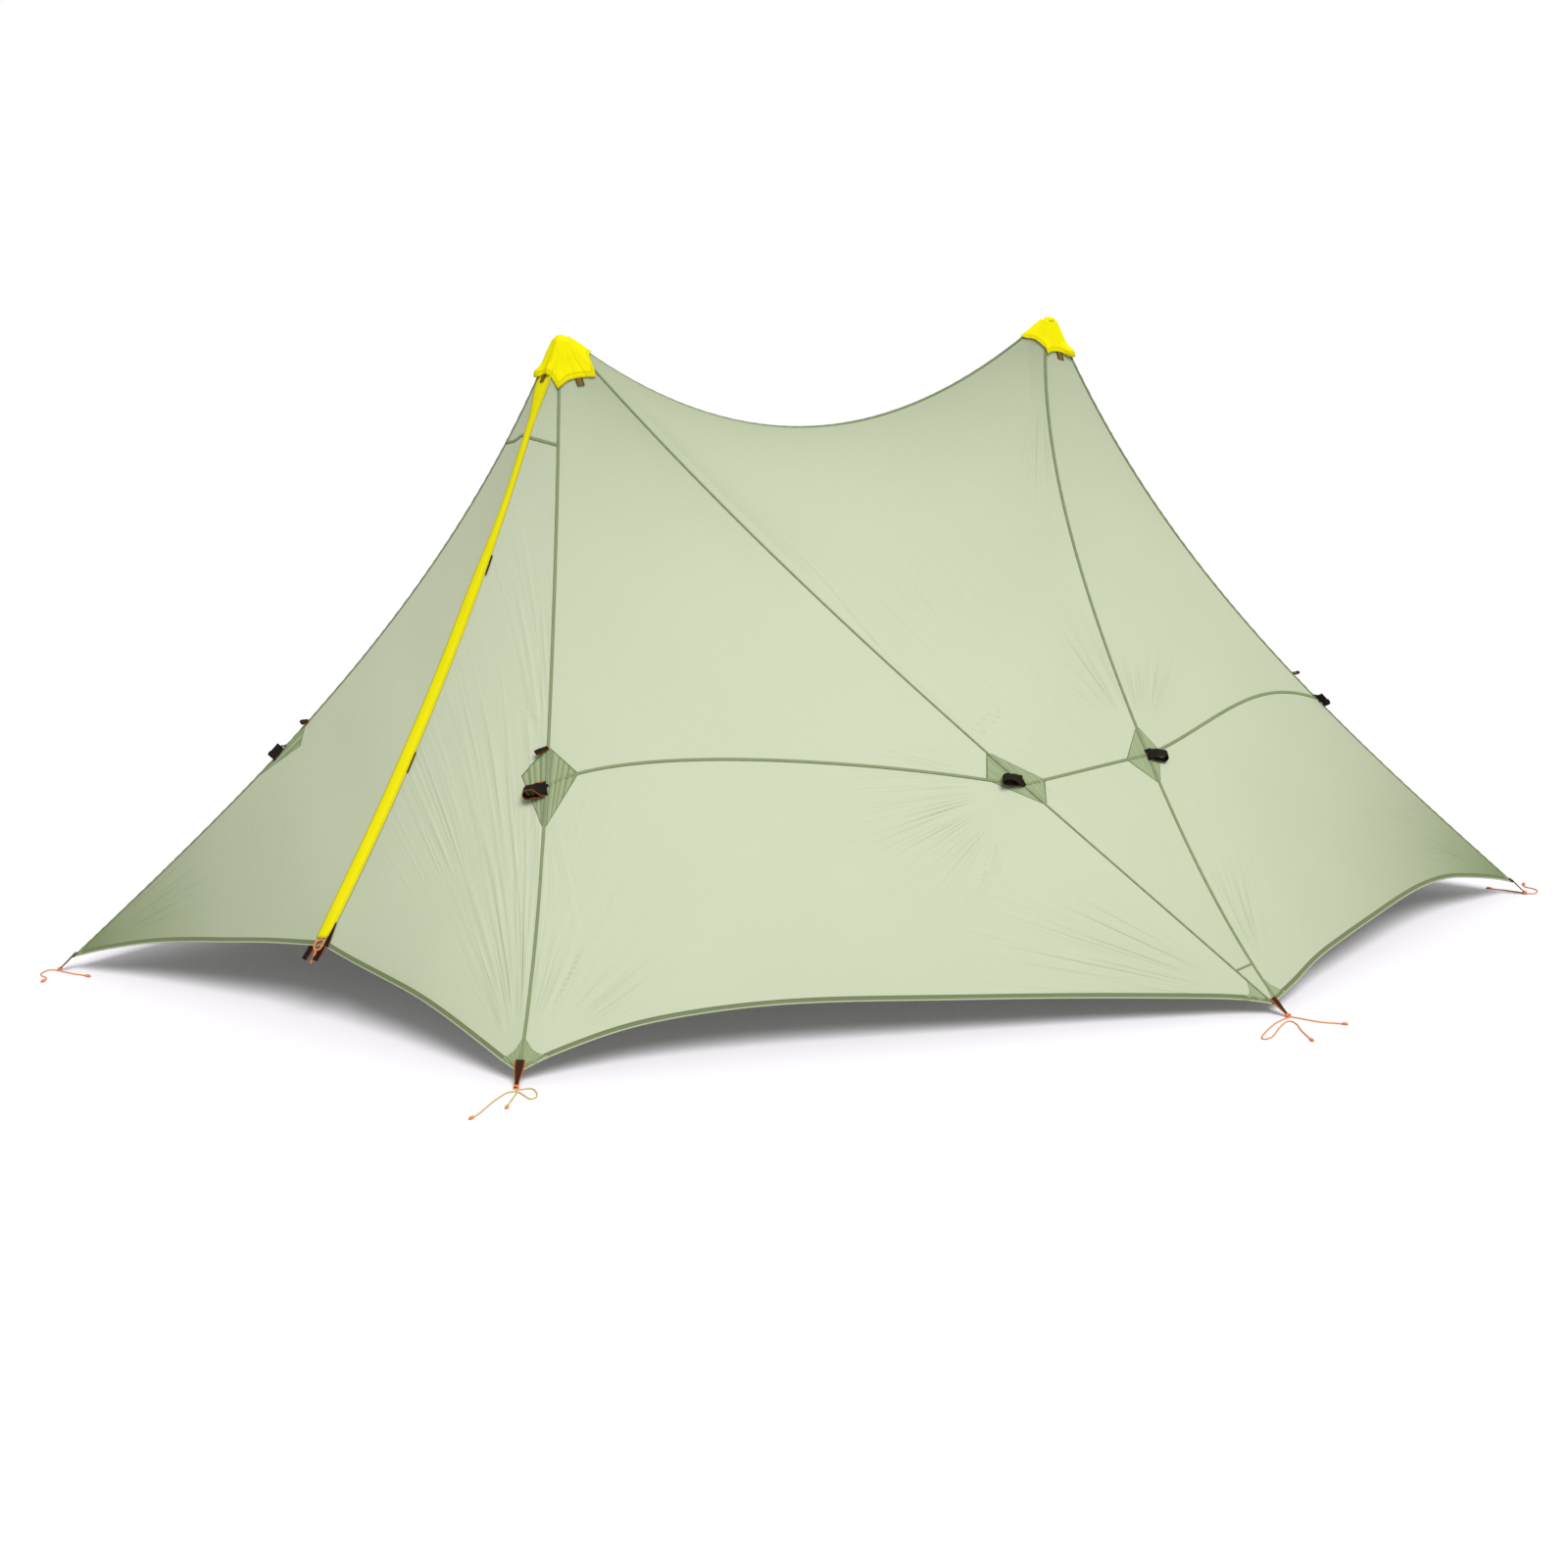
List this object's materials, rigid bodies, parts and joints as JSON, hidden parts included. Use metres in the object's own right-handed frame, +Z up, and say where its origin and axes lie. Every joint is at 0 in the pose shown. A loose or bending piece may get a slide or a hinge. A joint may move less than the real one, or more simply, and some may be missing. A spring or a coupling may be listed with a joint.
{
  "type": "ultralight tent",
  "caption": "Ultralight pyramid tent in pale green fabric, pitched on trekking poles, with yellow peak caps, a zipped door at each end and cord loops at its corners.",
  "frame": {"origin": "on the ground, under the middle of the ridge", "axes": "+X along the ridge towards the right peak, +Y to the back, +Z up"},
  "size_m": [3.0102, 1.6346, 1.2],
  "materials": {
    "cloth_green": "thin coated ripstop, satin",
    "cap_yellow": "coated fabric, satin",
    "webbing_brown": "woven, matte",
    "webbing_black": "woven, matte",
    "cord_white": "braided, reflective flecks",
    "cord_orange": "braided, matte",
    "plastic_black": "moulded",
    "aluminium": "drawn tube, brushed",
    "foam_black": "moulded foam"
  },
  "bodies": {
    "canopy": {"panel_front_upper_1": "cloth_green", "panel_front_lower_1": "cloth_green", "panel_roof_upper_1": "cloth_green", "panel_roof_lower_1": "cloth_green", "panel_end_upper_1": "cloth_green", "panel_end_lower_1": "cloth_green", "door_surround_1": "cloth_green", "peak_cap_1": "cap_yellow", "pole_tip_tube_1": "aluminium", "strap_end_1": "webbing_brown", "strap_front_1": "webbing_brown", "strap_side_1": "webbing_brown", "cord_end_1": "cord_white", "cord_front_1": "cord_white", "cord_side_1": "cord_white", "tie_out_end_1": "webbing_black", "tie_out_front_1": "webbing_black", "tie_out_long_1": "webbing_black", "tie_out_side_1": "webbing_black", "door_tie_back_1": "webbing_black", "panel_front_upper_2": "cloth_green", "panel_front_lower_2": "cloth_green", "panel_roof_upper_2": "cloth_green", "panel_roof_lower_2": "cloth_green", "panel_end_upper_2": "cloth_green", "panel_end_lower_2": "cloth_green", "door_surround_2": "cloth_green", "peak_cap_2": "cap_yellow", "pole_tip_tube_2": "aluminium", "strap_end_2": "webbing_brown", "strap_front_2": "webbing_brown", "strap_side_2": "webbing_brown", "cord_end_2": "cord_white", "cord_front_2": "cord_white", "cord_side_2": "cord_white", "tie_out_end_2": "webbing_black", "tie_out_front_2": "webbing_black", "tie_out_long_2": "webbing_black", "tie_out_side_2": "webbing_black", "door_tie_back_2": "webbing_black"},
    "front_door_left": {"door_left_1": "cloth_green", "storm_flap_1": "cap_yellow", "door_tab_left_1": "webbing_black"},
    "front_door_right": {"door_right_1": "cloth_green", "door_tab_right_1": "webbing_black"},
    "front_zip_slider": {"zip_slider_1": "plastic_black"},
    "front_zip_pull": {"zip_pull_1": "cord_orange"},
    "front_pole_lower": {"pole_grip_1": "foam_black", "pole_grip_tube_1": "aluminium"},
    "front_pole_lever": {"pole_lock_lever_1": "plastic_black"},
    "rear_door_left": {"door_left_2": "cloth_green", "storm_flap_2": "cap_yellow", "door_tab_left_2": "webbing_black"},
    "rear_door_right": {"door_right_2": "cloth_green", "door_tab_right_2": "webbing_black"},
    "rear_zip_slider": {"zip_slider_2": "plastic_black"},
    "rear_zip_pull": {"zip_pull_2": "cord_orange"},
    "rear_pole_lower": {"pole_grip_2": "foam_black", "pole_grip_tube_2": "aluminium"},
    "rear_pole_lever": {"pole_lock_lever_2": "plastic_black"}
  },
  "joints": [
    {"name": "front_door_left_swing", "type": "hinge", "parent": "canopy", "child": "front_door_left", "pos_m": [-0.56936, -0.00324, 0.9973], "axis": [-0.6333, 0.0657, -0.7711], "range_deg": [0, 110]},
    {"name": "front_door_right_swing", "type": "hinge", "parent": "canopy", "child": "front_door_right", "pos_m": [-0.51466, -0.04291, 0.99726], "axis": [0.2162, 0.4698, 0.8559], "range_deg": [0, 110]},
    {"name": "front_zip_slide", "type": "hinge", "parent": "front_door_left", "child": "front_zip_slider", "pos_m": [-3.14241, -2.37251, 2.36197], "axis": [0.6287, -0.7683, -0.1203], "range_deg": [0, 13.4]},
    {"name": "front_zip_pull_swing", "type": "hinge", "parent": "front_zip_slider", "child": "front_zip_pull", "pos_m": [-0.95671, -0.23437, 0.17899], "axis": [0.6287, -0.7683, -0.1203], "range_deg": [0, 110]},
    {"name": "front_pole_slide", "type": "slide", "parent": "canopy", "child": "front_pole_lower", "axis": [0, 0, 1], "range_m": [0, 0.4]},
    {"name": "front_pole_lever_swing", "type": "hinge", "parent": "front_pole_lower", "child": "front_pole_lever", "pos_m": [-0.457, 0, 0.645], "axis": [0, 0, -1], "range_deg": [0, 110]},
    {"name": "rear_door_left_swing", "type": "hinge", "parent": "canopy", "child": "rear_door_left", "pos_m": [0.56936, 0.00324, 0.9973], "axis": [0.6333, -0.0657, -0.7711], "range_deg": [0, 110]},
    {"name": "rear_door_right_swing", "type": "hinge", "parent": "canopy", "child": "rear_door_right", "pos_m": [0.51466, 0.04291, 0.99726], "axis": [-0.2162, -0.4698, 0.8559], "range_deg": [0, 110]},
    {"name": "rear_zip_slide", "type": "hinge", "parent": "rear_door_left", "child": "rear_zip_slider", "pos_m": [3.14241, 2.37251, 2.36197], "axis": [-0.6287, 0.7683, -0.1203], "range_deg": [0, 13.4]},
    {"name": "rear_zip_pull_swing", "type": "hinge", "parent": "rear_zip_slider", "child": "rear_zip_pull", "pos_m": [0.95671, 0.23437, 0.17899], "axis": [-0.6287, 0.7683, -0.1203], "range_deg": [0, 110]},
    {"name": "rear_pole_slide", "type": "slide", "parent": "canopy", "child": "rear_pole_lower", "axis": [0, 0, 1], "range_m": [0, 0.4]},
    {"name": "rear_pole_lever_swing", "type": "hinge", "parent": "rear_pole_lower", "child": "rear_pole_lever", "pos_m": [0.457, 0, 0.645], "axis": [0, 0, -1], "range_deg": [0, 110]}
  ]
}
